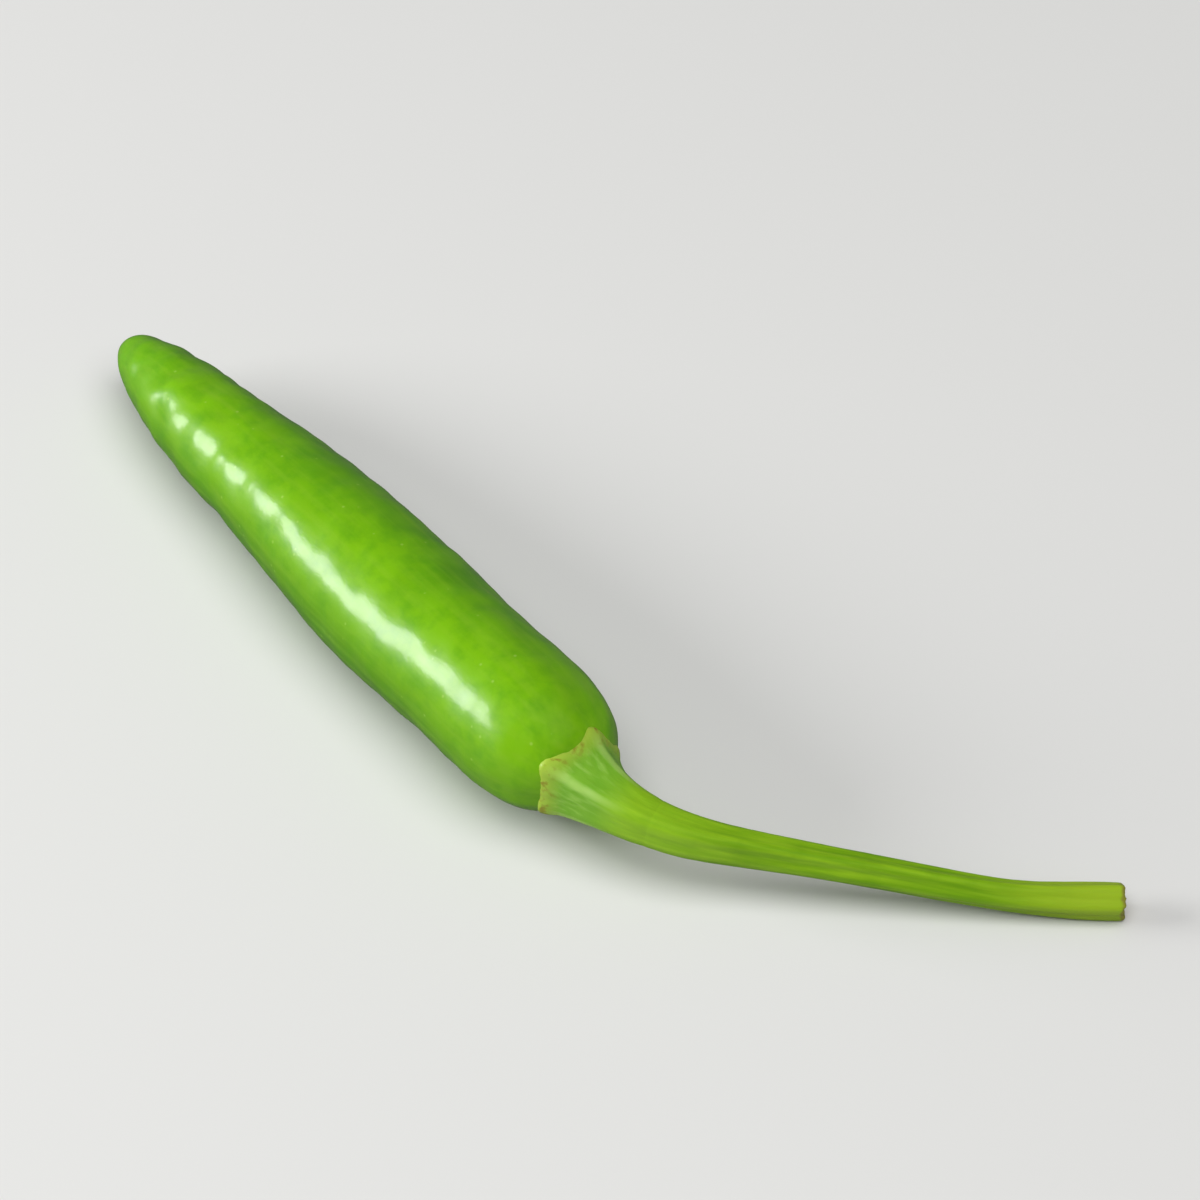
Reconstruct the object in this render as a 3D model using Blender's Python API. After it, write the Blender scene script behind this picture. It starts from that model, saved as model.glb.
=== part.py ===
"""A fresh green chilli pepper as picked, lying on its side: pod, calyx and stem.

One growth line runs from the tip of the pod, through the calyx, to the cut end of the
stem. Each piece is a round skin grown about that line. Lengths along the line start at
the tip. The box of the whole chilli is centred on X and Y and stands on Z = 0.
"""

import math

import bmesh
import bpy
from mathutils import Vector

MM = 0.001

# The growth line, in millimetres and degrees. Heading is measured from +X in plan, and
# climb is the angle above level.
LINE_LENGTH = 109.0
POD_HEADING = -15.5
POD_CLIMB = 0.9
TIP_HOOK = -6.5
TIP_HOOK_LENGTH = 20.0
TIP_DROOP = 7.0
TIP_DROOP_LENGTH = 30.0
NECK_TURN = 47.5
NECK_TURN_START = 62.8
NECK_TURN_LENGTH = 17.5
STEM_CLIMB = -7.87
STEM_DROP_START = 60.0
STEM_LEVELS_START = 96.0
STEM_LEVELS_LENGTH = 16.0
END_TURN = 7.0
END_TURN_START = 95.0
END_TURN_LENGTH = 10.0
LINE_STEP = 0.25

# The pod: half an ellipse from the tip to its widest place, a straight barrel, and a
# blunt shoulder. Its belly grew slightly flat, and it lies on that.
POD_LENGTH = 66.0
POD_RADIUS = 6.15
TIP_TAPER = 45.0
SHOULDER_START = 54.0
SHOULDER_BLUNTNESS = 2.7
BELLY_FLAT = 0.23

# The stem and the neck of the calyx share one flare. The stem ends in a swollen knuckle.
STEM_RADIUS = 1.17
NECK_FLARE = 2.93
NECK_FLARE_START = 65.1
NECK_FLARE_LENGTH = 6.0
KNUCKLE_SWELL = 0.23
KNUCKLE_START = 97.0
KNUCKLE_LENGTH = 9.0
STEM_POINTS = 24
STEM_SIDE_RESOLUTION = 4

# The calyx: a cup pressed on the shoulder, with five small teeth at its rim.
RIM_RADIUS = 3.3
RIM_THICKNESS = 0.22
CALYX_END = 71.5
CALYX_TEETH = 5
TOOTH_LENGTH = 0.28

# Touching pieces keep this gap.
GAP = 0.3

GREENS = {
    "pod": ((0.16, 0.45, 0.01), 0.22),
    "calyx": ((0.24, 0.46, 0.06), 0.5),
    "stem": ((0.28, 0.43, 0.05), 0.5),
}


def clear_scene():
    for old in list(bpy.data.objects):
        bpy.data.objects.remove(old)


def ease(x):
    """Goes smoothly from 0 to 1 as x does."""
    x = min(max(x, 0.0), 1.0)
    return x * x * (3 - 2 * x)


def heading_and_climb(station):
    hook = max(0.0, 1 - station / TIP_HOOK_LENGTH) ** 2
    droop = max(0.0, 1 - station / TIP_DROOP_LENGTH) ** 2
    neck = ease((station - NECK_TURN_START) / NECK_TURN_LENGTH)
    end = ease((station - END_TURN_START) / END_TURN_LENGTH)
    drop = ease((station - STEM_DROP_START) / STEM_LEVELS_LENGTH)
    levels = ease((station - STEM_LEVELS_START) / STEM_LEVELS_LENGTH)
    heading = POD_HEADING + TIP_HOOK * hook + NECK_TURN * neck + END_TURN * end
    climb = POD_CLIMB + TIP_DROOP * droop + (STEM_CLIMB - POD_CLIMB) * drop - STEM_CLIMB * levels
    return math.radians(heading), math.radians(climb)


def direction(station):
    heading, climb = heading_and_climb(station)
    level = math.cos(climb)
    return Vector((math.cos(heading) * level, math.sin(heading) * level, math.sin(climb)))


def growth_line():
    """The line's points, LINE_STEP apart, found by walking along it from the tip."""
    points = [Vector((0, 0, 0))]
    for i in range(math.ceil(LINE_LENGTH / LINE_STEP)):
        points.append(points[-1] + direction((i + 0.5) * LINE_STEP) * LINE_STEP)
    return points


LINE = growth_line()


def centre(station):
    i = min(int(station / LINE_STEP), len(LINE) - 2)
    return LINE[i].lerp(LINE[i + 1], station / LINE_STEP - i)


def on_skin(station, radius, angle):
    """The point at this radius and angle about the line. Angle 0 is level, to the left."""
    along = direction(station)
    heading, _ = heading_and_climb(station)
    side = Vector((-math.sin(heading), math.cos(heading), 0))
    out = side * math.cos(angle) + along.cross(side) * math.sin(angle)
    return (centre(station) + out * radius) * MM


def rounded(x, bluntness):
    """A quarter turn from 1 at x = 0 down to 0 at x = 1. A bluntness of 2 is a circle."""
    x = min(max(x, 0.0), 1.0)
    return (1 - x**bluntness) ** (1 / bluntness)


def pod_radius(station):
    if station < TIP_TAPER:
        return POD_RADIUS * rounded(1 - station / TIP_TAPER, 2)
    over = (station - SHOULDER_START) / (POD_LENGTH - SHOULDER_START)
    return POD_RADIUS * rounded(over, SHOULDER_BLUNTNESS)


def neck_radius(station):
    """The outside of the stem, and of the calyx from its neck to its rim."""
    flare = NECK_FLARE * math.exp((NECK_FLARE_START - station) / NECK_FLARE_LENGTH)
    knuckle = KNUCKLE_SWELL * ease((station - KNUCKLE_START) / KNUCKLE_LENGTH)
    return STEM_RADIUS + flare + knuckle


def above_shoulder(radius, lift):
    """(station, radius) of the point lifted square off the pod's shoulder at radius."""
    depth = POD_LENGTH - SHOULDER_START
    over = rounded(radius / POD_RADIUS, SHOULDER_BLUNTNESS)
    out = (radius / POD_RADIUS) ** (SHOULDER_BLUNTNESS - 1) / POD_RADIUS
    forward = over ** (SHOULDER_BLUNTNESS - 1) / depth
    lift = lift / math.hypot(out, forward)
    return SHOULDER_START + depth * over + lift * forward, radius + lift * out


def pod_profile(share, angle):
    """(station, radius) on the pod, as share goes from 0 at the tip to 1 at the calyx."""
    station = POD_LENGTH * (1 - math.cos(math.pi * share)) / 2
    return station, pod_radius(station)


def calyx_profile(share, angle):
    """(station, radius) on the calyx: from the middle of its inside, out against the pod
    to the toothed rim, along the flare and over the neck's end, as share goes 0 to 1."""
    rim = RIM_RADIUS + TOOTH_LENGTH * math.cos(CALYX_TEETH * angle)
    rim_inside = 0.38
    neck_end = 0.88
    if share <= rim_inside:
        return above_shoulder(rim * math.sin(share / rim_inside * math.pi / 2), GAP)
    if share < neck_end:
        station, _ = above_shoulder(rim, GAP + RIM_THICKNESS)
        station += (CALYX_END - station) * (share - rim_inside) / (neck_end - rim_inside)
        return station, neck_radius(station)
    return CALYX_END, neck_radius(CALYX_END) * (1 - share) / (1 - neck_end)


def finish(name):
    (red, green, blue), roughness = GREENS[name]
    material = bpy.data.materials.new(name)
    material.use_nodes = True
    surface = material.node_tree.nodes["Principled BSDF"]
    surface.inputs["Base Color"].default_value = (red, green, blue, 1)
    surface.inputs["Roughness"].default_value = roughness
    surface.inputs["Metallic"].default_value = 0
    return material


def skin(name, profile, around, along):
    """A sphere drawn out along the growth line: its poles become the profile's ends."""
    body = bmesh.new()
    bmesh.ops.create_uvsphere(body, u_segments=around, v_segments=along, radius=1)
    for vert in body.verts:
        share = math.acos(max(-1.0, min(1.0, -vert.co.z))) / math.pi
        angle = math.atan2(vert.co.y, vert.co.x)
        vert.co = on_skin(*profile(share, angle), angle)
    mesh = bpy.data.meshes.new(name)
    body.to_mesh(mesh)
    body.free()
    mesh.shade_smooth()
    mesh.materials.append(finish(name))
    return bpy.data.objects.new(name, mesh)


def pod():
    body = skin("pod", pod_profile, around=32, along=44)
    lying_on = min(vert.co.z for vert in body.data.vertices) + BELLY_FLAT * MM
    for vert in body.data.vertices:
        vert.co.z = max(vert.co.z, lying_on)
    return body


def calyx():
    return skin("calyx", calyx_profile, around=40, along=24)


def stem():
    """A tube along the growth line from the calyx to the cut end."""
    curve = bpy.data.curves.new("stem", "CURVE")
    curve.dimensions = "3D"
    curve.bevel_depth = MM
    curve.bevel_resolution = STEM_SIDE_RESOLUTION
    curve.use_fill_caps = True
    spline = curve.splines.new("POLY")
    spline.points.add(STEM_POINTS - 1)
    start = CALYX_END + GAP
    for i, point in enumerate(spline.points):
        station = start + (LINE_LENGTH - start) * i / (STEM_POINTS - 1)
        point.co = (*(centre(station) * MM), 1)
        point.radius = neck_radius(station)
    spline.use_smooth = True
    curve.materials.append(finish("stem"))
    return bpy.data.objects.new("stem", curve)


def box(objects):
    """Lowest and highest corners of the objects together, as they are evaluated."""
    graph = bpy.context.evaluated_depsgraph_get()
    corners = []
    for part in objects:
        mesh = part.evaluated_get(graph).to_mesh()
        corners += [part.matrix_world @ vert.co for vert in mesh.vertices]
        part.evaluated_get(graph).to_mesh_clear()
    low = Vector([min(c[i] for c in corners) for i in range(3)])
    high = Vector([max(c[i] for c in corners) for i in range(3)])
    return low, high


def build():
    clear_scene()
    group = bpy.data.collections.new("chilli_pepper")
    bpy.context.scene.collection.children.link(group)
    whole = bpy.data.objects.new("chilli_pepper", None)
    pieces = [pod(), calyx(), stem()]
    for thing in [whole, *pieces]:
        group.objects.link(thing)
    for piece in pieces:
        piece.parent = whole
    bpy.context.view_layer.update()
    low, high = box(pieces)
    whole.location = (-(low.x + high.x) / 2, -(low.y + high.y) / 2, -low.z)


build()
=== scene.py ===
"""The looks of a fresh green chilli pepper, lying on a pale floor: pod, calyx and stem."""

import math

import bpy
from mathutils import Matrix, Vector


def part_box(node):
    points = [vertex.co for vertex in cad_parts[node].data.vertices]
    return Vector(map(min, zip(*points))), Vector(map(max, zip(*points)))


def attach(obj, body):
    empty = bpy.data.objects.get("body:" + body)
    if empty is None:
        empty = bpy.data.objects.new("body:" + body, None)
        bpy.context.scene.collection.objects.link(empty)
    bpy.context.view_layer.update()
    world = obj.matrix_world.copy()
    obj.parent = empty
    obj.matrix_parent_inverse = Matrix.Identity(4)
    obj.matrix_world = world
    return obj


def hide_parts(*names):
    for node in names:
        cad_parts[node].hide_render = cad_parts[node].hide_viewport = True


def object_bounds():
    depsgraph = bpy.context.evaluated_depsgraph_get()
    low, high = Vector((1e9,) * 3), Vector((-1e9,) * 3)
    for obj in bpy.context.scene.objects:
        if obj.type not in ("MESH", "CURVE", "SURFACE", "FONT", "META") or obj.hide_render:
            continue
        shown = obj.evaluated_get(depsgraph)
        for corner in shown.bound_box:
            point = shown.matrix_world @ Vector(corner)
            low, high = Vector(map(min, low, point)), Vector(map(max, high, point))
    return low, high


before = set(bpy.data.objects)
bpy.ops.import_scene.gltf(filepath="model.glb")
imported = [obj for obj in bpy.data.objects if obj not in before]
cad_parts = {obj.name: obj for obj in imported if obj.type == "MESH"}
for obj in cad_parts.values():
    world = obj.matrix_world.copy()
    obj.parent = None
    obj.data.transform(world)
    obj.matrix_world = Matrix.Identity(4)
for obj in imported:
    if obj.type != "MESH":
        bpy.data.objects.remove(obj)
cad_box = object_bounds()


# The growth line ----------------------------------------------------------------------
# A chilli grows about one line, from the tip of the pod through the calyx to the end of
# the stem. Every piece below is a skin about it. Stations are millimetres from the tip,
# and turns are degrees: headings in plan, from +X, and climbs above level.

MM = 0.001
LINE_LENGTH = 109.0
LINE_STEP = 0.5
POD_HEADING = -15.5
POD_CLIMB = 0.9
TIP_HOOK = -6.5
TIP_HOOK_LENGTH = 20.0
TIP_DROOP = 7.0
TIP_DROOP_LENGTH = 30.0
NECK_TURN = 47.5
NECK_TURN_START = 62.8
NECK_TURN_LENGTH = 17.5
STEM_CLIMB = -7.87
STEM_DROP_START = 60.0
STEM_LEVELS_START = 96.0
STEM_LEVELS_LENGTH = 16.0
END_TURN = 7.0
END_TURN_START = 95.0
END_TURN_LENGTH = 10.0
POD_RADIUS = 6.15
STEM_END_RADIUS = 1.4


def ease(x):
    """Goes smoothly from 0 to 1 as x does."""
    x = min(max(x, 0.0), 1.0)
    return x * x * (3 - 2 * x)


def direction(station):
    """Which way the line runs at this station."""
    hook = max(0.0, 1 - station / TIP_HOOK_LENGTH) ** 2
    droop = max(0.0, 1 - station / TIP_DROOP_LENGTH) ** 2
    neck = ease((station - NECK_TURN_START) / NECK_TURN_LENGTH)
    end = ease((station - END_TURN_START) / END_TURN_LENGTH)
    drop = ease((station - STEM_DROP_START) / STEM_LEVELS_LENGTH)
    levels = ease((station - STEM_LEVELS_START) / STEM_LEVELS_LENGTH)
    heading = math.radians(POD_HEADING + TIP_HOOK * hook + NECK_TURN * neck + END_TURN * end)
    climb = POD_CLIMB + TIP_DROOP * droop + (STEM_CLIMB - POD_CLIMB) * drop - STEM_CLIMB * levels
    climb = math.radians(climb)
    level = math.cos(climb)
    return Vector((math.cos(heading) * level, math.sin(heading) * level, math.sin(climb)))


def growth_line():
    """The line's points. The CAD stem's box places its end, and the pod's its height."""
    points = [Vector((0, 0, 0))]
    for i in range(round(LINE_LENGTH / LINE_STEP)):
        points.append(points[-1] + direction((i + 0.5) * LINE_STEP) * LINE_STEP * MM)
    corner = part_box("stem")[1]
    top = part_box("pod")[1].z
    end = direction(LINE_LENGTH)
    reach = [STEM_END_RADIUS * MM * math.sqrt(1 - part * part) for part in end]
    place = Vector((corner.x - reach[0] - points[-1].x, corner.y - reach[1] - points[-1].y, 0))
    place.z = top - POD_RADIUS * MM - max(point.z for point in points)
    return [place + point for point in points]


def path(name, points, kind):
    """An open curve through the points, for a tree to sample. It is removed at the end."""
    curve = bpy.data.curves.new(name, "CURVE")
    curve.dimensions = "3D"
    spline = curve.splines.new(kind)
    if kind == "POLY":
        spline.points.add(len(points) - 1)
        for made, point in zip(spline.points, points):
            made.co = (*point, 1)
    else:
        spline.bezier_points.add(len(points) - 1)
        for made, point in zip(spline.bezier_points, points):
            made.co = point
            made.handle_left_type = made.handle_right_type = "AUTO"
        spline.resolution_u = 24
    guide = bpy.data.objects.new(name, curve)
    bpy.context.scene.collection.objects.link(guide)
    return guide


line = path("growth_line", growth_line(), "POLY")


# The pod ------------------------------------------------------------------------------
# The fruit: a hollow, firm, thin-walled pod in a smooth waxy skin. It hangs from its
# calyx as it grows. Seeds inside press faint bumps into the wall, most where it narrows.

# Station and radius along the skin, from the flower's scar, a tiny nub at the tip, to the
# blunt shoulder under the calyx.
POD_OUTLINE = [
    (0.0, 0.0), (0.02, 0.14), (0.14, 0.22), (0.25, 0.4), (0.6, 0.95), (1.6, 1.7), (4, 2.6),
    (8, 3.4), (13, 4.15), (18, 4.75), (24, 5.32), (30, 5.7), (36, 5.93), (45, 6.1),
    (52, 6.17), (57, 6.13), (60, 5.88), (62.3, 5.33), (64.1, 4.45), (65.3, 3.4), (66, 2.2),
    (66.3, 0.0),
]
POD_SIZES = {
    "Lump height": 1.2,
    "Lump length": 11.0,
    "Bump height": 0.55,
    "Bump spacing": 2.6,
    "Furrow depth": 0.5,
    "Lump seed": 1.0,
    "Bump seed": 5.0,
}

MATH = "ShaderNodeMath"
VECTOR_MATH = "ShaderNodeVectorMath"
NOISE = "ShaderNodeTexNoise"
RANGE = "ShaderNodeMapRange"
MIX = "ShaderNodeMix"


def add(tree, kind, inputs=None, **settings):
    """Adds a node with its settings. An input is a value, a socket, or a node, which
    stands for its first output."""
    made = tree.nodes.new(kind)
    for name, value in settings.items():
        setattr(made, name, value)
    for key, value in (inputs or {}).items():
        if isinstance(value, bpy.types.Node):
            value = value.outputs[0]
        if isinstance(value, bpy.types.NodeSocket):
            tree.links.new(value, made.inputs[key])
        else:
            made.inputs[key].default_value = value
    return made


def skin_tree(name, sizes, relief):
    """A tree that draws a sphere out along the growth line. Its outline gives a station
    and a radius from pole to pole, and relief adds a slide and a rise to them."""
    tree = bpy.data.node_groups.new(name, "GeometryNodeTree")
    kinds = {"Line": "Object", "Outline": "Object", "Around": "Int", "Along": "Int"}
    kinds |= {"Material": "Material"} | {label: "Float" for label in sizes}
    for label, kind in kinds.items():
        tree.interface.new_socket(label, in_out="INPUT", socket_type="NodeSocket" + kind)
    tree.interface.new_socket("Skin", in_out="OUTPUT", socket_type="NodeSocketGeometry")
    given = add(tree, "NodeGroupInput").outputs

    ball = add(tree, "GeometryNodeMeshUVSphere",
               {"Segments": given["Around"], "Rings": given["Along"], "Radius": 1.0})
    at = add(tree, "ShaderNodeSeparateXYZ", {0: add(tree, "GeometryNodeInputPosition")})
    down = add(tree, MATH, {0: at.outputs["Z"], 1: -1.0}, operation="MULTIPLY")
    turned = add(tree, MATH, {0: down}, operation="ARCCOSINE")
    share = add(tree, MATH, {0: turned, 1: math.pi}, operation="DIVIDE")
    flat = add(tree, "ShaderNodeCombineXYZ", {"X": at.outputs["X"], "Y": at.outputs["Y"]})
    around = add(tree, VECTOR_MATH, {0: flat}, operation="NORMALIZE")
    turn = add(tree, "ShaderNodeSeparateXYZ", {0: around})
    outline = add(tree, "GeometryNodeObjectInfo", {"Object": given["Outline"]})
    outline = add(tree, "GeometryNodeSampleCurve",
                  {"Curves": outline.outputs["Geometry"], "Factor": share}, mode="FACTOR")
    section = add(tree, "ShaderNodeSeparateXYZ", {0: outline.outputs["Position"]})
    station, radius = section.outputs["X"], section.outputs["Y"]

    # Where the point would be if the chilli were straight: patterns follow this.
    across = add(tree, MATH, {0: turn.outputs["X"], 1: radius}, operation="MULTIPLY")
    upward = add(tree, MATH, {0: turn.outputs["Y"], 1: radius}, operation="MULTIPLY")
    straight = add(tree, "ShaderNodeCombineXYZ", {"X": across, "Y": upward, "Z": station})
    where = {"straight": straight, "station": station, "radius": radius, "around": around,
             "share": share}
    slide, rise = relief(tree, given, where)

    new_station = add(tree, MATH, {0: station, 1: slide}, operation="ADD")
    new_radius = add(tree, MATH, {0: radius, 1: rise}, operation="ADD")
    metres = add(tree, MATH, {0: new_station, 1: MM}, operation="MULTIPLY")
    track = add(tree, "GeometryNodeObjectInfo", {"Object": given["Line"]})
    track = add(tree, "GeometryNodeSampleCurve",
                {"Curves": track.outputs["Geometry"], "Length": metres}, mode="LENGTH")
    side = add(tree, VECTOR_MATH, {0: (0, 0, 1), 1: track.outputs["Tangent"]},
               operation="CROSS_PRODUCT")
    side = add(tree, VECTOR_MATH, {0: side}, operation="NORMALIZE")
    up = add(tree, VECTOR_MATH, {0: track.outputs["Tangent"], 1: side}, operation="CROSS_PRODUCT")
    side = add(tree, VECTOR_MATH, {0: side, "Scale": turn.outputs["X"]}, operation="SCALE")
    up = add(tree, VECTOR_MATH, {0: up, "Scale": turn.outputs["Y"]}, operation="SCALE")
    out = add(tree, VECTOR_MATH, {0: side, 1: up}, operation="ADD")
    reach = add(tree, MATH, {0: new_radius, 1: MM}, operation="MULTIPLY")
    out = add(tree, VECTOR_MATH, {0: out, "Scale": reach}, operation="SCALE")
    placed = add(tree, VECTOR_MATH, {0: track.outputs["Position"], 1: out}, operation="ADD")
    # What would sink into the table lies flat on it.
    spot = add(tree, "ShaderNodeSeparateXYZ", {0: placed})
    eased_over = 0.1 * MM
    on_floor = add(tree, MATH, {0: spot.outputs["Z"], 1: 0.0, 2: eased_over},
                   operation="SMOOTH_MAX")
    resting = add(tree, "ShaderNodeCombineXYZ",
                  {"X": spot.outputs["X"], "Y": spot.outputs["Y"], "Z": on_floor})

    kept = add(tree, "GeometryNodeStoreNamedAttribute",
               {"Geometry": ball.outputs["Mesh"], "Name": "straight", "Value": straight},
               data_type="FLOAT_VECTOR", domain="POINT")
    shaped = add(tree, "GeometryNodeSetPosition", {"Geometry": kept, "Position": resting})
    real = add(tree, "GeometryNodeRealizeInstances", {"Geometry": shaped})
    coated = add(tree, "GeometryNodeSetMaterial",
                 {"Geometry": real, "Material": given["Material"]})
    add(tree, "NodeGroupOutput", {"Skin": coated})
    return tree


def grow(name, relief, outline, sizes, material, around, along):
    """A piece grown by its own tree, as a plain mesh."""
    guide = path(name + "_outline", [(station, radius, 0) for station, radius in outline], "BEZIER")
    values = {"Line": line, "Outline": guide, "Around": around, "Along": along,
              "Material": material, **sizes}
    piece = bpy.data.objects.new(name, bpy.data.meshes.new(name))
    bpy.context.scene.collection.objects.link(piece)
    growing = piece.modifiers.new("skin", "NODES")
    growing.node_group = skin_tree(name, sizes, relief)
    for item in growing.node_group.interface.items_tree:
        if item.in_out == "INPUT":
            growing[item.identifier] = values[item.name]
    graph = bpy.context.evaluated_depsgraph_get()
    mesh = bpy.data.meshes.new_from_object(
        piece.evaluated_get(graph), preserve_all_data_layers=True, depsgraph=graph)
    piece.modifiers.clear()
    piece.data = mesh
    mesh.shade_smooth()
    return piece


def paint(code):
    """An sRGB hex colour, made linear."""
    parts = [int(code[i:i + 2], 16) / 255 for i in (1, 3, 5)]
    return (*[c / 12.92 if c <= 0.04045 else ((c + 0.055) / 1.055) ** 2.4 for c in parts], 1)


def fresh_pepper_skin():
    """Pepper skin under its own wax: a glossy, slightly uneven coat over soft green flesh,
    limier at the tip and the shoulder, with faint lengthwise streaks and pale pin dots."""
    material = bpy.data.materials.new("fresh_pepper_skin")
    material.use_nodes = True
    tree = material.node_tree
    surface = tree.nodes["Principled BSDF"]
    straight = add(tree, "ShaderNodeAttribute", attribute_name="straight").outputs["Vector"]
    beside = add(tree, "ShaderNodeSeparateXYZ", {0: straight})
    station = beside.outputs["Z"]

    # Patches 8 mm across, of a deeper green where more of the pigment lies.
    patches = add(tree, NOISE, {"Vector": straight, "Scale": 1 / 8, "Detail": 3.0})
    patchy = add(tree, RANGE, {0: patches, 1: 0.35, 2: 0.7}, interpolation_type="SMOOTHSTEP")
    green = add(tree, MIX, {0: patchy, 6: paint("#68a804"), 7: paint("#4a8c02")},
                data_type="RGBA")
    # The side towards the key light is yellower: partly the skin's own hue, partly painted light.
    lit_side_yellowing = add(tree, RANGE, {0: beside.outputs["X"], 1: 4.0, 2: -4.0, 4: 0.7},
                interpolation_type="SMOOTHSTEP")
    green = add(tree, MIX, {0: lit_side_yellowing, 6: green.outputs[2], 7: paint("#7ab206")},
                data_type="RGBA")
    # Painted shade: the underside, turned away from the lights, is painted a deeper green.
    painted_underside_shade = add(tree, RANGE, {0: beside.outputs["Y"], 1: 3.5, 2: -1.5, 4: 0.75},
                interpolation_type="SMOOTHSTEP")
    green = add(tree, MIX, {0: painted_underside_shade, 6: green.outputs[2], 7: paint("#427c02")},
                data_type="RGBA")
    # The shoulder and the tip are limier over their last 16 mm.
    shoulder = add(tree, RANGE, {0: station, 1: 48.0, 2: 64.0, 4: 0.6},
                   interpolation_type="SMOOTHSTEP")
    green = add(tree, MIX, {0: shoulder, 6: green.outputs[2], 7: paint("#78b404")},
                data_type="RGBA")
    tip = add(tree, RANGE, {0: station, 1: 16.0, 2: 0.0, 4: 0.6},
              interpolation_type="SMOOTHSTEP")
    green = add(tree, MIX, {0: tip, 6: green.outputs[2], 7: paint("#66a812")},
                data_type="RGBA")
    # Mottles 2 mm across, where the flesh shows more or less through the skin.
    mottles = add(tree, NOISE, {"Vector": straight, "Scale": 1 / 2, "Detail": 3.0,
                                "Roughness": 0.6})
    mottled = add(tree, RANGE, {0: mottles, 1: 0.45, 2: 0.7, 4: 0.5})
    green = add(tree, MIX, {0: mottled, 6: green.outputs[2], 7: paint("#4e9206")},
                data_type="RGBA")
    # Streaks 0.5 mm wide and some 8 mm long.
    lengthwise = add(tree, "ShaderNodeMapping", {"Vector": straight, "Scale": (1.6, 1.6, 0.12)})
    streaks = add(tree, NOISE, {"Vector": lengthwise, "Scale": 1.0, "Detail": 3.0})
    streaky = add(tree, RANGE, {0: streaks, 1: 0.45, 2: 0.7, 4: 0.35})
    green = add(tree, MIX, {0: streaky, 6: green.outputs[2], 7: paint("#7fb022")},
                data_type="RGBA")
    # Pale pin dots, 0.2 mm across and about 1.6 mm apart.
    dots = add(tree, "ShaderNodeTexVoronoi", {"Vector": straight, "Scale": 1 / 1.6})
    dotted = add(tree, RANGE, {0: dots.outputs["Distance"], 1: 0.1, 2: 0.05, 4: 0.4})
    green = add(tree, MIX, {0: dotted, 6: green.outputs[2], 7: paint("#a3c957")},
                data_type="RGBA")
    tree.links.new(green.outputs[2], surface.inputs["Base Color"])

    # Wax: patchy, so its gloss comes and goes a little.
    wax = add(tree, NOISE, {"Vector": straight, "Scale": 0.6, "Detail": 4.0})
    rough = add(tree, RANGE, {0: wax, 1: 0.3, 2: 0.7, 3: 0.32, 4: 0.42})
    tree.links.new(rough.outputs[0], surface.inputs["Roughness"])
    surface.inputs["IOR"].default_value = 1.45
    surface.inputs["Specular IOR Level"].default_value = 0.35
    surface.inputs["Coat Weight"].default_value = 0.5
    surface.inputs["Coat IOR"].default_value = 1.45
    surface.inputs["Coat Roughness"].default_value = 0.18
    surface.inputs["Subsurface Weight"].default_value = 0.1
    surface.inputs["Subsurface Radius"].default_value = (0.5, 1.0, 0.12)
    surface.inputs["Subsurface Scale"].default_value = 1.6 * MM

    # The skin's cells are 0.05 mm across, here drawn as a grain of 0.5 mm to show.
    cells = add(tree, NOISE, {"Vector": straight, "Scale": 1 / 0.5, "Detail": 2.0})
    grain = add(tree, "ShaderNodeBump",
                {"Height": cells, "Strength": 0.25, "Distance": 0.05 * MM})
    tree.links.new(grain.outputs[0], surface.inputs["Normal"])
    tree.links.new(grain.outputs[0], surface.inputs["Coat Normal"])
    return material


def pod_relief(tree, given, where):
    """Lumps all over, bumps from seeds, most near the tip, and furrows at the shoulder."""
    stretched = add(tree, VECTOR_MATH, {0: where["straight"], 1: (1.0, 1.0, 0.8)},
                    operation="MULTIPLY")
    spread = add(tree, MATH, {0: 1.0, 1: given["Lump length"]}, operation="DIVIDE")
    lumps = add(tree, NOISE, {"Vector": stretched, "W": given["Lump seed"], "Scale": spread,
                              "Detail": 0.0}, noise_dimensions="4D")
    lumps = add(tree, MATH, {0: lumps, 1: 0.55}, operation="SUBTRACT")
    rise = add(tree, MATH, {0: lumps, 1: given["Lump height"]}, operation="MULTIPLY")

    spread = add(tree, MATH, {0: 1.0, 1: given["Bump spacing"]}, operation="DIVIDE")
    widened = add(tree, VECTOR_MATH, {0: where["straight"], 1: (0.85, 0.85, 1.1)},
                  operation="MULTIPLY")
    bumps = add(tree, NOISE, {"Vector": widened, "W": given["Bump seed"], "Scale": spread,
                              "Detail": 0.3, "Roughness": 0.3}, noise_dimensions="4D")
    bumps = add(tree, MATH, {0: bumps, 1: 0.5}, operation="SUBTRACT")
    near_tip = add(tree, RANGE, {0: where["station"], 1: 10.0, 2: 30.0, 3: 1.0, 4: 0.42},
                   interpolation_type="SMOOTHSTEP")
    bumps = add(tree, MATH, {0: bumps, 1: near_tip}, operation="MULTIPLY")
    rise = add(tree, MATH, {0: bumps, 1: given["Bump height"], 2: rise}, operation="MULTIPLY_ADD")

    lengthwise = add(tree, VECTOR_MATH, {0: where["around"], "Scale": 1.7}, operation="SCALE")
    furrows = add(tree, NOISE, {"Vector": lengthwise, "W": given["Lump seed"], "Scale": 1.0,
                                "Detail": 1.0}, noise_dimensions="4D")
    furrows = add(tree, MATH, {0: furrows, 1: 0.55}, operation="SUBTRACT")
    near_calyx = add(tree, RANGE, {0: where["station"], 1: 50.0, 2: 64.0},
                     interpolation_type="SMOOTHSTEP")
    furrows = add(tree, MATH, {0: furrows, 1: near_calyx}, operation="MULTIPLY")
    rise = add(tree, MATH, {0: furrows, 1: given["Furrow depth"], 2: rise},
               operation="MULTIPLY_ADD")

    calm_at_poles = add(tree, RANGE, {0: where["radius"], 1: 0.0, 2: 2.0})
    rise = add(tree, MATH, {0: rise, 1: calm_at_poles}, operation="MULTIPLY")
    return 0.0, rise


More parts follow.
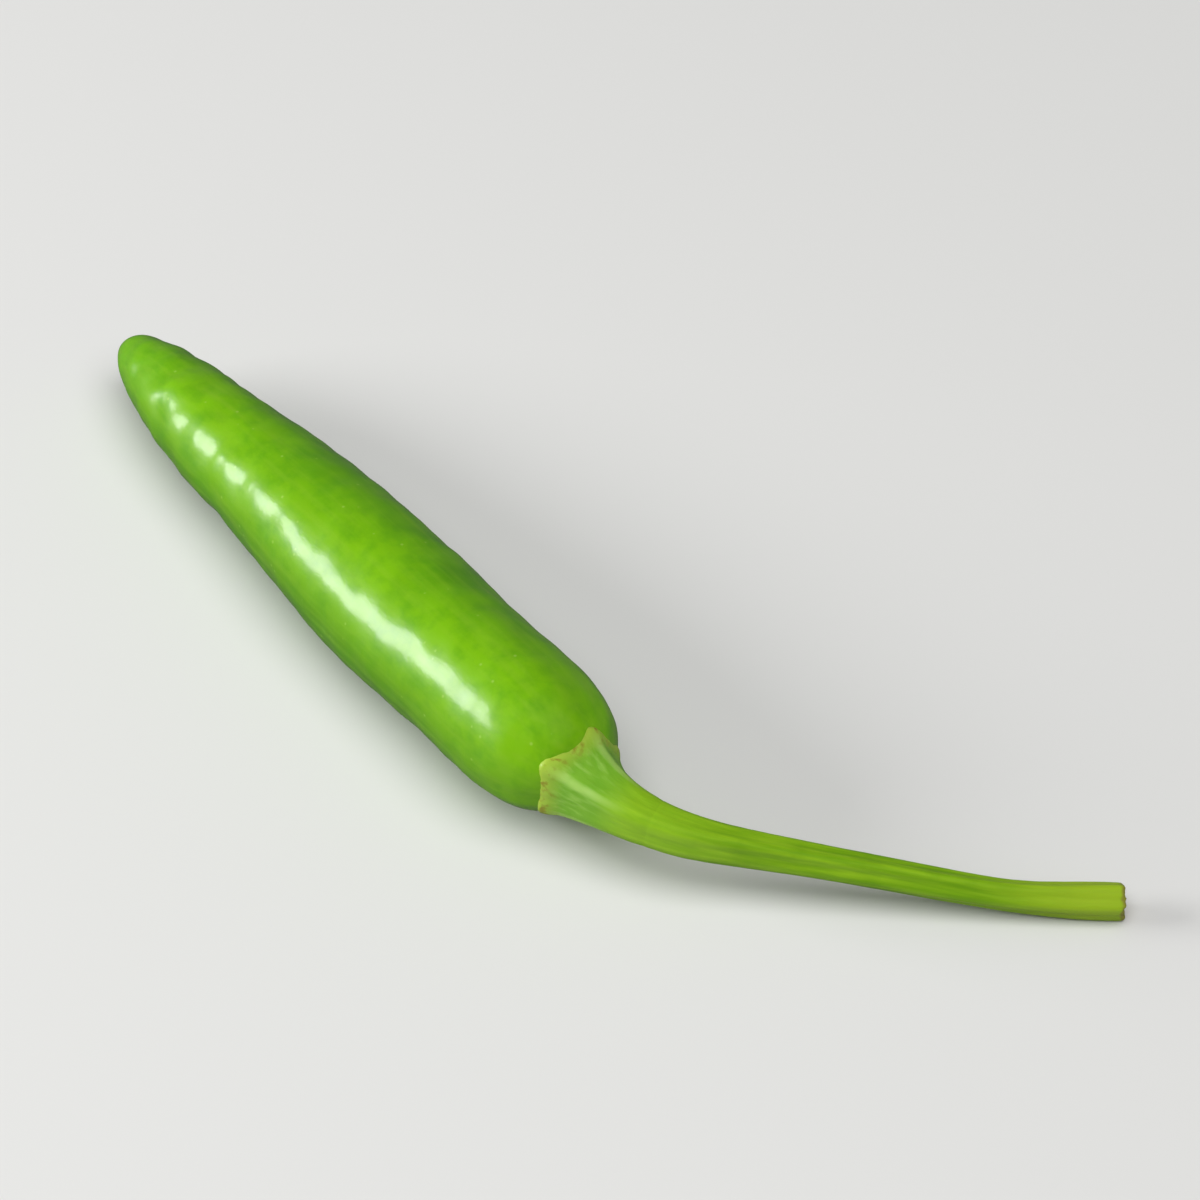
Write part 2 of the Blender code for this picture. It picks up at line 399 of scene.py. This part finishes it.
pod = grow("pod_skin", pod_relief, POD_OUTLINE, POD_SIZES, fresh_pepper_skin(),
           around=220, along=400)
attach(pod, "root")
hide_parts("pod")


# The calyx ----------------------------------------------------------------------------
# The green cup that held the flower: five sepals grown into one leathery trumpet. It is
# pressed on the pod's shoulder, with a short tooth and a rib for each sepal, and narrows
# into the stem, with which it is one.

# From the middle of its inside, out under the rim, and along the outside to the stem,
# which it runs a little way over, so that no joint shows.
CALYX_OUTLINE = [
    (66.0, 0.0), (65.7, 2.0), (65.1, 3.0), (64.8, 3.35), (64.75, 3.55), (64.95, 3.66),
    (65.3, 3.55), (66.1, 3.1), (67.3, 2.68), (69.0, 2.32), (71.0, 2.04), (72.5, 1.86),
    (73.4, 1.7), (74.0, 1.35), (74.1, 0.7), (74.1, 0.0),
]
SEPALS = 5
CALYX_SIZES = {"Rib height": 0.17, "Tooth length": 0.26}
STALK_SIZES = {"Ridge height": 0.2, "Twist": 0.02, "Grain height": 0.14, "Seed": 6.0}


def stalk_green(tree, straight):
    """Stalk tissue, and its fibres: 0.3 mm wide, here drawn a little coarser to show, in
    a yellow-green skin with darker blotches 3 mm across."""
    lengthwise = add(tree, "ShaderNodeMapping", {"Vector": straight, "Scale": (2.4, 2.4, 0.13)})
    fibres = add(tree, NOISE, {"Vector": lengthwise, "Scale": 1.0, "Detail": 4.0})
    fibrous = add(tree, RANGE, {0: fibres, 1: 0.35, 2: 0.68})
    green = add(tree, MIX, {0: fibrous, 6: paint("#6a9a08"), 7: paint("#8ab61a")},
                data_type="RGBA")
    blotches = add(tree, NOISE, {"Vector": straight, "Scale": 0.35, "Detail": 3.0})
    blotchy = add(tree, RANGE, {0: blotches, 1: 0.5, 2: 0.75, 4: 0.5})
    green = add(tree, MIX, {0: blotchy, 6: green.outputs[2], 7: paint("#629206")},
                data_type="RGBA")
    # It is palest over the 6 mm where the calyx narrows into the stem.
    station = add(tree, "ShaderNodeSeparateXYZ", {0: straight}).outputs["Z"]
    neck = add(tree, RANGE, {0: station, 1: 80.0, 2: 74.0, 4: 0.5},
               interpolation_type="SMOOTHSTEP")
    green = add(tree, MIX, {0: neck, 6: green.outputs[2], 7: paint("#92c022")},
                data_type="RGBA")
    return green.outputs[2], fibres.outputs[0]


def leathery_calyx():
    """Calyx tissue: thin green leather with paler ribs, satin, dried tan along its rim."""
    material = bpy.data.materials.new("leathery_calyx")
    material.use_nodes = True
    tree = material.node_tree
    surface = tree.nodes["Principled BSDF"]
    straight = add(tree, "ShaderNodeAttribute", attribute_name="straight").outputs["Vector"]
    beside = add(tree, "ShaderNodeSeparateXYZ", {0: straight})
    station = beside.outputs["Z"]
    blotches = add(tree, NOISE, {"Vector": straight, "Scale": 0.7, "Detail": 4.0})
    green = add(tree, MIX, {0: blotches, 6: paint("#5f9c1c"), 7: paint("#80b430")},
                data_type="RGBA")
    # Veins 0.3 mm wide run from the stem to the rim.
    lengthwise = add(tree, "ShaderNodeMapping", {"Vector": straight, "Scale": (2.2, 2.2, 0.12)})
    veins = add(tree, NOISE, {"Vector": lengthwise, "Scale": 1.0, "Detail": 3.0})
    pale = add(tree, RANGE, {0: veins, 1: 0.48, 2: 0.7, 4: 0.5})
    green = add(tree, MIX, {0: pale, 6: green.outputs[2], 7: paint("#9dc85a")},
                data_type="RGBA")
    # The ribs are paler still.
    angle = add(tree, MATH, {0: beside.outputs["Y"], 1: beside.outputs["X"]},
                operation="ARCTAN2")
    wound = add(tree, MATH, {0: station, 1: STALK_SIZES["Twist"], 2: angle},
                operation="MULTIPLY_ADD")
    sepals = add(tree, MATH, {0: wound, 1: SEPALS}, operation="MULTIPLY")
    ridges = add(tree, MATH, {0: sepals}, operation="COSINE")
    rib = add(tree, RANGE, {0: ridges, 1: 0.7, 2: 1.0, 4: 0.5})
    green = add(tree, MIX, {0: rib, 6: green.outputs[2], 7: paint("#b2d474")},
                data_type="RGBA")
    # The rim yellows over its last millimetre, and has dried in tan specks.
    rim = add(tree, RANGE, {0: station, 1: 66.6, 2: 65.0}, interpolation_type="SMOOTHSTEP")
    green = add(tree, MIX, {0: rim, 6: green.outputs[2], 7: paint("#9ebc3a")},
                data_type="RGBA")
    specks = add(tree, NOISE, {"Vector": straight, "Scale": 1.6, "Detail": 3.0})
    speckled = add(tree, RANGE, {0: specks, 1: 0.54, 2: 0.66, 4: 0.8})
    dried = add(tree, MATH, {0: speckled, 1: rim}, operation="MULTIPLY")
    green = add(tree, MIX, {0: dried, 6: green.outputs[2], 7: paint("#84761c")},
                data_type="RGBA")
    stalk, fibres = stalk_green(tree, straight)
    neck = add(tree, RANGE, {0: station, 1: 68.0, 2: 71.5}, interpolation_type="SMOOTHSTEP")
    green = add(tree, MIX, {0: neck, 6: green.outputs[2], 7: stalk}, data_type="RGBA")
    tree.links.new(green.outputs[2], surface.inputs["Base Color"])
    surface.inputs["Roughness"].default_value = 0.42
    surface.inputs["IOR"].default_value = 1.45
    surface.inputs["Subsurface Weight"].default_value = 0.1
    surface.inputs["Subsurface Radius"].default_value = (0.5, 1.0, 0.12)
    surface.inputs["Subsurface Scale"].default_value = 0.8 * MM
    height = add(tree, MIX, {0: neck, 2: veins, 3: fibres})
    grain = add(tree, "ShaderNodeBump",
                {"Height": height.outputs[0], "Strength": 0.5, "Distance": 0.08 * MM})
    tree.links.new(grain.outputs[0], surface.inputs["Normal"])
    return material


def stalk_relief(tree, given, where):
    """Soft ridges, one for each sepal, that wind slowly round the stalk, and a fine grain
    along them."""
    beside = add(tree, "ShaderNodeSeparateXYZ", {0: where["around"]})
    angle = add(tree, MATH, {0: beside.outputs["Y"], 1: beside.outputs["X"]},
                operation="ARCTAN2")
    wound = add(tree, MATH, {0: where["station"], 1: given["Twist"], 2: angle},
                operation="MULTIPLY_ADD")
    sepals = add(tree, MATH, {0: wound, 1: SEPALS}, operation="MULTIPLY")
    ridges = add(tree, MATH, {0: sepals}, operation="COSINE")
    half_height = add(tree, MATH, {0: given["Ridge height"], 1: 0.5}, operation="MULTIPLY")
    rise = add(tree, MATH, {0: ridges, 1: half_height}, operation="MULTIPLY")
    lengthwise = add(tree, VECTOR_MATH, {0: where["straight"], 1: (1.2, 1.2, 0.2)},
                     operation="MULTIPLY")
    grain = add(tree, NOISE, {"Vector": lengthwise, "W": given["Seed"], "Scale": 1.0,
                              "Detail": 3.0}, noise_dimensions="4D")
    grain = add(tree, MATH, {0: grain, 1: 0.5}, operation="SUBTRACT")
    rise = add(tree, MATH, {0: grain, 1: given["Grain height"], 2: rise},
               operation="MULTIPLY_ADD")
    return ridges, rise


def calyx_relief(tree, given, where):
    """The stalk's ridges grow into ribs that end in teeth at the ragged rim."""
    ridges, stalk = stalk_relief(tree, given, where)
    rib = add(tree, MATH, {0: ridges, 1: 0.5, 2: 0.5}, operation="MULTIPLY_ADD")
    narrow = add(tree, MATH, {0: rib, 1: 3.0}, operation="POWER")
    flare = add(tree, RANGE, {0: where["station"], 1: 71.0, 2: 66.5},
                interpolation_type="SMOOTHSTEP")
    flare = add(tree, MATH, {0: flare, 1: given["Rib height"]}, operation="MULTIPLY")
    rise = add(tree, MATH, {0: narrow, 1: flare, 2: stalk}, operation="MULTIPLY_ADD")
    outside = add(tree, RANGE, {0: where["share"], 1: 0.2, 2: 0.3},
                  interpolation_type="SMOOTHSTEP")
    calm_at_pole = add(tree, RANGE, {0: where["radius"], 1: 0.0, 2: 1.0})
    outside = add(tree, MATH, {0: outside, 1: calm_at_pole}, operation="MULTIPLY")
    rise = add(tree, MATH, {0: rise, 1: outside}, operation="MULTIPLY")

    at_rim = add(tree, RANGE, {0: where["station"], 1: 66.4, 2: 64.9},
                 interpolation_type="SMOOTHSTEP")
    wide = add(tree, RANGE, {0: where["radius"], 1: 2.4, 2: 3.3},
               interpolation_type="SMOOTHSTEP")
    at_rim = add(tree, MATH, {0: at_rim, 1: wide}, operation="MULTIPLY")
    ragged = add(tree, NOISE, {"Vector": where["around"], "W": given["Seed"], "Scale": 4.0,
                               "Detail": 2.0}, noise_dimensions="4D")
    tooth = add(tree, MATH, {0: narrow, 1: ragged}, operation="ADD")
    tooth = add(tree, MATH, {0: tooth, 1: -0.5}, operation="ADD")
    tooth = add(tree, MATH, {0: tooth, 1: at_rim}, operation="MULTIPLY")
    tooth = add(tree, MATH, {0: tooth, 1: given["Tooth length"]}, operation="MULTIPLY")
    slide = add(tree, MATH, {0: tooth, 1: -1.0}, operation="MULTIPLY")
    down_the_shoulder = 0.9
    rise = add(tree, MATH, {0: tooth, 1: down_the_shoulder, 2: rise}, operation="MULTIPLY_ADD")
    return slide, rise


calyx = grow("calyx_cup", calyx_relief, CALYX_OUTLINE, CALYX_SIZES | STALK_SIZES,
             leathery_calyx(), around=240, along=200)
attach(calyx, "root")
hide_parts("calyx")


# The stem -----------------------------------------------------------------------------
# A tough green stalk, one with the calyx. Five soft ridges run along it, and it ends in
# the swollen knuckle where it broke from the plant.

# It starts inside the calyx and ends in the rounded edge and the hollow of the break.
STEM_OUTLINE = [
    (71.2, 0.0), (71.2, 1.0), (71.7, 1.6), (72.6, 1.82), (73.5, 1.79), (75, 1.71), (78.5, 1.5),
    (84, 1.33), (90, 1.25), (96, 1.17), (99, 1.16), (102, 1.22), (104.5, 1.33), (107, 1.42),
    (108.1, 1.42), (108.5, 1.41), (108.72, 1.36), (108.84, 1.22), (108.82, 1.0), (108.7, 0.8),
    (108.6, 0.6), (108.66, 0.3), (108.68, 0.0),
]


def green_stalk():
    """Stalk skin: satin and finely ridged lengthwise, yellower at the knuckle, with the
    pale torn wood of the break on its end."""
    material = bpy.data.materials.new("green_stalk")
    material.use_nodes = True
    tree = material.node_tree
    surface = tree.nodes["Principled BSDF"]
    straight = add(tree, "ShaderNodeAttribute", attribute_name="straight").outputs["Vector"]
    station = add(tree, "ShaderNodeSeparateXYZ", {0: straight}).outputs["Z"]
    green, fibres = stalk_green(tree, straight)
    knuckle = add(tree, RANGE, {0: station, 1: 96.0, 2: 107.0, 4: 0.75},
                  interpolation_type="SMOOTHSTEP")
    green = add(tree, MIX, {0: knuckle, 6: green, 7: paint("#9cb824")}, data_type="RGBA")
    # The break has dried: a brown edge 0.2 mm wide round pale wood.
    ragged = add(tree, NOISE, {"Vector": straight, "Scale": 1.5, "Detail": 2.0})
    edge = add(tree, MATH, {0: ragged, 1: 0.6, 2: station}, operation="MULTIPLY_ADD")
    dried = add(tree, RANGE, {0: edge, 1: 108.75, 2: 109.0, 4: 0.7})
    green = add(tree, MIX, {0: dried, 6: green.outputs[2], 7: paint("#86743a")},
                data_type="RGBA")
    section = add(tree, VECTOR_MATH, {0: straight, 1: (1.0, 1.0, 0.0)}, operation="MULTIPLY")
    radius = add(tree, VECTOR_MATH, {0: section}, operation="LENGTH").outputs["Value"]
    inside = add(tree, RANGE, {0: radius, 1: 1.2, 2: 1.0})
    at_end = add(tree, RANGE, {0: station, 1: 108.0, 2: 108.4})
    wood = add(tree, MATH, {0: inside, 1: at_end}, operation="MULTIPLY")
    green = add(tree, MIX, {0: wood, 6: green.outputs[2], 7: paint("#b9ad72")},
                data_type="RGBA")
    tree.links.new(green.outputs[2], surface.inputs["Base Color"])
    surface.inputs["Roughness"].default_value = 0.42
    surface.inputs["IOR"].default_value = 1.45
    surface.inputs["Subsurface Weight"].default_value = 0.1
    surface.inputs["Subsurface Radius"].default_value = (0.5, 1.0, 0.12)
    surface.inputs["Subsurface Scale"].default_value = 0.8 * MM
    grain = add(tree, "ShaderNodeBump",
                {"Height": fibres, "Strength": 0.5, "Distance": 0.08 * MM})
    tree.links.new(grain.outputs[0], surface.inputs["Normal"])
    return material


def stem_relief(tree, given, where):
    """The stalk's ridges, which die out over its ends, and the torn fibres of the break."""
    _, rise = stalk_relief(tree, given, where)
    calm_at_poles = add(tree, RANGE, {0: where["radius"], 1: 0.0, 2: 1.0})
    rise = add(tree, MATH, {0: rise, 1: calm_at_poles}, operation="MULTIPLY")
    fibres = add(tree, NOISE, {"Vector": where["straight"], "W": given["Seed"], "Scale": 1.8,
                               "Detail": 3.0}, noise_dimensions="4D")
    fibres = add(tree, MATH, {0: fibres, 1: 0.5}, operation="SUBTRACT")
    at_end = add(tree, RANGE, {0: where["station"], 1: 108.2, 2: 108.6, 4: 0.7})
    slide = add(tree, MATH, {0: fibres, 1: at_end}, operation="MULTIPLY")
    return slide, rise


stem = grow("stem_stalk", stem_relief, STEM_OUTLINE, STALK_SIZES, green_stalk(),
            around=96, along=420)
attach(stem, "root")
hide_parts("stem")

for guide in [o for o in bpy.data.objects if o.type == "CURVE"]:
    bpy.data.objects.remove(guide)


# The floor, the light and the camera --------------------------------------------------
# A pale matt table, a round-ended softbox along the pod, on the left, a broad soft light
# overhead, and the view from the front and above.

CAMERA_AZIMUTH = math.radians(38.7)
CAMERA_ELEVATION = math.radians(42.4)
CAMERA_DISTANCE = 0.5
FIELD_WIDTH = 0.094
AIM_PAST_MIDDLE = 0.006
WIDEST_STATION = 49.0
KEY_TURN = math.radians(34)

low, high = cad_box
middle = (low + high) / 2
right = Vector((math.cos(CAMERA_AZIMUTH), math.sin(CAMERA_AZIMUTH), 0))
forward = Vector((-math.sin(CAMERA_AZIMUTH), math.cos(CAMERA_AZIMUTH), 0))
up = Vector((0, 0, 1))
back = up * math.sin(CAMERA_ELEVATION) - forward * math.cos(CAMERA_ELEVATION)

# White laminate, rubbed matt. The wax doesn't mirror it, which keeps the greens deep.
bpy.ops.mesh.primitive_plane_add(size=6)
floor = bpy.context.object
floor.name = "floor"
matt_table = bpy.data.materials.new("matt_table")
matt_table.use_nodes = True
surface = matt_table.node_tree.nodes["Principled BSDF"]
surface.inputs["Base Color"].default_value = paint("#dededc")
surface.inputs["Roughness"].default_value = 0.7
floor.data.materials.append(matt_table)
floor.visible_glossy = False


def softbox(name, towards, distance, long_side, width, length, watts):
    """A round-ended light that faces the chilli, its long side turned to a direction."""
    lamp = bpy.data.lights.new(name, "AREA")
    lamp.shape = "ELLIPSE"
    lamp.size = length
    lamp.size_y = width
    lamp.energy = watts
    box = bpy.data.objects.new(name, lamp)
    bpy.context.scene.collection.objects.link(box)
    towards = towards.normalized()
    x = (long_side - towards * long_side.dot(towards)).normalized()
    turn = Matrix((x, towards.cross(x), towards)).transposed().to_4x4()
    box.matrix_world = Matrix.Translation(middle + towards * distance) @ turn
    return box


# The key light lies where the pod mirrors it in one long gleam, left of its middle.
pod_axis = direction(WIDEST_STATION)
mirrored = back - pod_axis * 2 * back.dot(pod_axis)
key_side = Matrix.Rotation(KEY_TURN, 3, pod_axis) @ mirrored
softbox("key", key_side, distance=0.6, long_side=pod_axis, width=0.23, length=0.42, watts=3.2)

# The overhead light fills the shadows and gives no gleam of its own.
above = up - forward * 0.35 + right * 0.1
overhead = softbox("overhead", above, distance=1.0, long_side=right, width=1.2, length=1.2,
                   watts=10.2)
overhead.visible_glossy = False

world = bpy.data.worlds.new("studio")
world.use_nodes = True
world.node_tree.nodes["Background"].inputs["Color"].default_value = (1, 1, 1, 1)
world.node_tree.nodes["Background"].inputs["Strength"].default_value = 0.1
bpy.context.scene.world = world
bpy.context.scene.view_settings.view_transform = "Standard"

lens = bpy.data.cameras.new("camera")
lens.sensor_width = 36
lens.lens = lens.sensor_width * CAMERA_DISTANCE / FIELD_WIDTH
camera = bpy.data.objects.new("camera", lens)
bpy.context.scene.collection.objects.link(camera)
aim = middle + (right + forward) * AIM_PAST_MIDDLE
camera.location = aim + back * CAMERA_DISTANCE
camera.rotation_euler = back.to_track_quat("Z", "Y").to_euler()
bpy.context.scene.camera = camera
